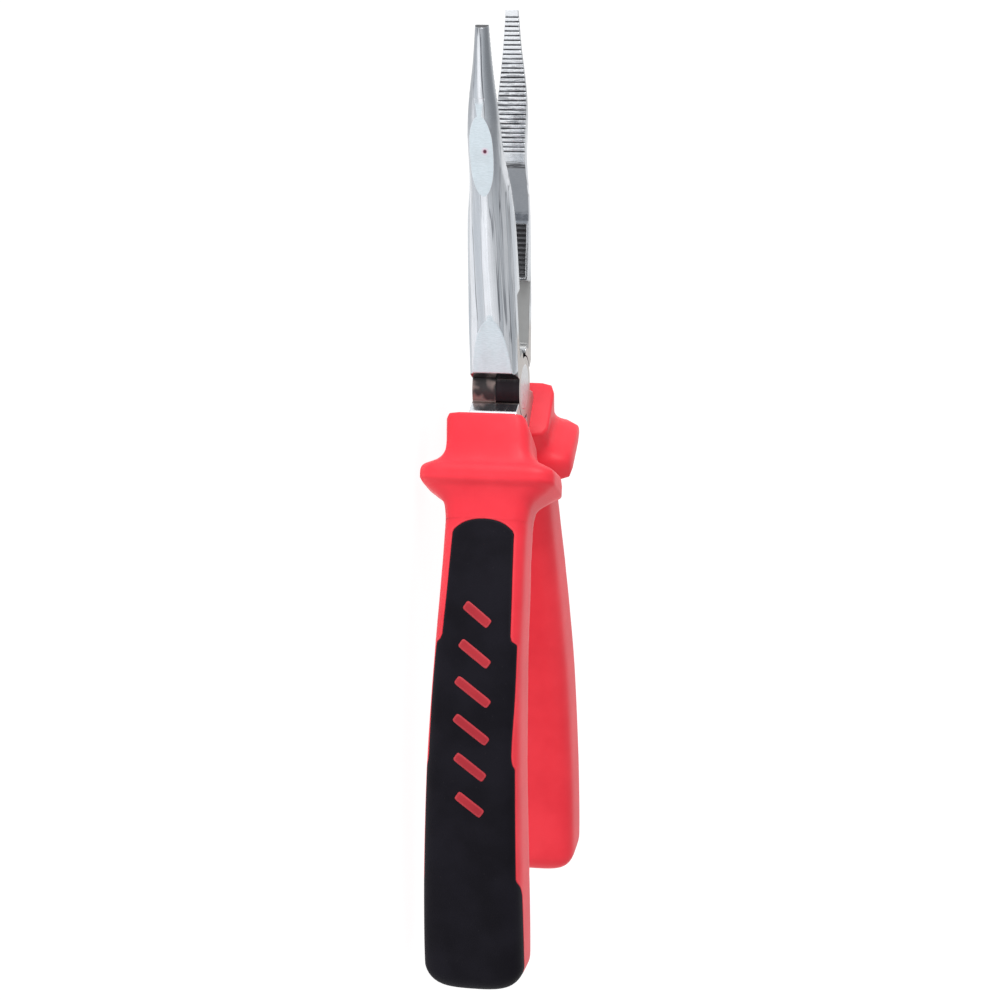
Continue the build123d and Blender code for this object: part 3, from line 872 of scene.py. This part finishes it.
def black_material():
    """Soft black rubber: pebbled, a little dusty, with corners rubbed grey."""
    s = Shader("black_soft_rubber")
    place = s.stretch(s.add("ShaderNodeTexCoord").outputs["Object"], (1 / MM, 1 / MM, 1 / MM))
    cloud = s.noise(place, 0.12, 3.0, 0.5)
    pebble = s.add("ShaderNodeTexVoronoi", {"Vector": place, "Scale": 3.2}).outputs["Distance"]
    grain = s.noise(place, 6.0, 3.0, 0.6)
    speck = s.add("ShaderNodeTexVoronoi", {"Vector": place, "Scale": 0.55}).outputs["Distance"]
    dust = s.math("MAXIMUM", s.step(s.noise(place, 1.7, 4.0, 0.7), 0.62, 0.80),
                  s.step(speck, 0.03, 0.07, (2.2, 0.0)))
    corner = s.edges(0.0008, 0.90, 0.998)[0]
    colour = s.mix(s.step(cloud, 0.3, 0.7), *BLACK)
    colour = s.mix(s.times(corner, 0.50), colour, BLACK_CORNER)
    colour = s.mix(s.times(dust, 0.12), colour, DUST)
    s.feed(s.bsdf.inputs["Base Color"], colour)
    s.feed(s.bsdf.inputs["Roughness"], s.step(grain, 0.25, 0.75, (0.56, 0.72)))
    s.bsdf.inputs["Specular IOR Level"].default_value = 0.10
    height = s.math("ADD", s.times(pebble, 0.5), s.times(grain, 0.5))
    s.feed(s.bsdf.inputs["Normal"], s.bump(height, 0.45, 0.00008))
    return s.material


def floor_material():
    """Pale floor that glows a little, so that it stays even under the tool."""
    s = Shader("pale_studio_floor")
    where = s.add("ShaderNodeTexCoord").outputs["Object"]
    cloud = s.noise(where, 3.0, 3.0, 0.5)
    s.feed(s.bsdf.inputs["Base Color"], s.mix(cloud, *FLOOR))
    s.bsdf.inputs["Roughness"].default_value = 0.85
    s.bsdf.inputs["Specular IOR Level"].default_value = 0.2
    s.bsdf.inputs["Emission Color"].default_value = (1, 1, 1, 1)
    s.bsdf.inputs["Emission Strength"].default_value = 0.93
    return s.material


def wear(node, material):
    """Give a CAD piece its own finish."""
    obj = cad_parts[node]
    for slot in obj.material_slots:
        slot.link = "OBJECT"
        slot.material = material


# ---- stage -------------------------------------------------------------------------------------
FLOOR_FRONT, FLOOR_BEND = 12.0, -9.0  # metres along y
FLOOR_SIDE = 30.0
BEND_RADIUS, BEND_STEPS = 3.0, 12
BACKDROP_HEIGHT = 9.0


def make_floor():
    """Plain floor that curves up into a backdrop far behind the tool."""
    height = size_before[0][2]
    profile = [(FLOOR_FRONT, 0.0), (FLOOR_BEND, 0.0)]
    for step in range(1, BEND_STEPS + 1):
        turn = math.pi / 2 * step / BEND_STEPS
        profile.append((FLOOR_BEND - BEND_RADIUS * math.sin(turn), BEND_RADIUS * (1 - math.cos(turn))))
    profile.append((FLOOR_BEND - BEND_RADIUS, BACKDROP_HEIGHT))
    points = [(side, y, height + z) for y, z in profile for side in (-FLOOR_SIDE, FLOOR_SIDE)]
    faces = [(2 * i, 2 * i + 1, 2 * i + 3, 2 * i + 2) for i in range(len(profile) - 1)]
    mesh = bpy.data.meshes.new("floor")
    mesh.from_pydata(points, [], faces)
    mesh.materials.append(floor_material())
    for face in mesh.polygons:
        face.use_smooth = True
    floor = bpy.data.objects.new("floor", mesh)
    bpy.context.scene.collection.objects.link(floor)


def soft_light(name, size, where, target, power):
    """Rectangular light that looks at a target."""
    data = bpy.data.lights.new(name, "AREA")
    data.shape = "RECTANGLE"
    data.size, data.size_y = size
    data.energy = power
    light = bpy.data.objects.new(name, data)
    light.location = where
    light.rotation_euler = (Vector(target) - Vector(where)).to_track_quat("-Z", "Y").to_euler()
    bpy.context.scene.collection.objects.link(light)


def make_world():
    """Pale room, a little darker overhead so that round steel has a light and a dark side."""
    world = bpy.data.worlds.new("studio")
    world.use_nodes = True
    tree = world.node_tree
    where = tree.nodes.new("ShaderNodeTexCoord")
    split = tree.nodes.new("ShaderNodeSeparateXYZ")
    ramp = tree.nodes.new("ShaderNodeMapRange")
    ramp.interpolation_type = "SMOOTHSTEP"
    for key, value in (("From Min", 0.10), ("From Max", 0.85), ("To Min", 0.84), ("To Max", 0.66)):
        ramp.inputs[key].default_value = value
    tree.links.new(where.outputs["Generated"], split.inputs[0])
    tree.links.new(split.outputs[2], ramp.inputs["Value"])
    tree.links.new(ramp.outputs[0], tree.nodes["Background"].inputs["Strength"])
    tree.nodes["Background"].inputs["Color"].default_value = (1.0, 1.0, 1.0, 1)
    bpy.context.scene.world = world


# The photograph's camera, as fitted to its outline: angles in radians, distance in metres.
TILT, SWING, ROLL = 0.18446, 0.25743, 0.01042
DISTANCE = 0.59309
LENS_WIDTHS = 2.8328                  # focal length in sensor widths
SENSOR_WIDTH = 36.0
AIM = (-0.024397, 0.0, -0.000513)


def make_camera():
    """Camera that looks the way the photograph does, with +X up in the picture."""
    away = Vector((math.sin(SWING), math.cos(SWING) * math.cos(TILT), math.cos(SWING) * math.sin(TILT)))
    up = Vector((1, 0, 0)) - away * away.x
    up.normalize()
    right = up.cross(away)
    up, right = (up * math.cos(ROLL) + right * math.sin(ROLL),
                 right * math.cos(ROLL) - up * math.sin(ROLL))
    data = bpy.data.cameras.new("camera")
    data.sensor_width = SENSOR_WIDTH
    data.lens = SENSOR_WIDTH * LENS_WIDTHS
    data.clip_start, data.clip_end = 0.01, 200.0
    camera = bpy.data.objects.new("camera", data)
    stance = Matrix((right, up, away)).transposed().to_4x4()
    stance.translation = Vector(AIM) + away * DISTANCE
    camera.matrix_world = stance
    bpy.context.scene.collection.objects.link(camera)
    bpy.context.scene.camera = camera


materials = {
    "red": red_material("red_insulating_plastic", *RED),
    "bars": red_material("red_moulded_bars", *BAR_RED),
    "black": black_material(),
}
for half in HALVES:
    handle_pieces(half, materials)
    wear(half + "_lever", steel_material(half))
wear("joint_rivet", rivet_material())
make_floor()
make_world()
soft_light("key", size=(0.55, 0.55), where=(1.45, 0.50, 0.35), target=(-0.02, 0, 0), power=13.5)
make_camera()
bpy.context.scene.view_settings.view_transform = "Standard"
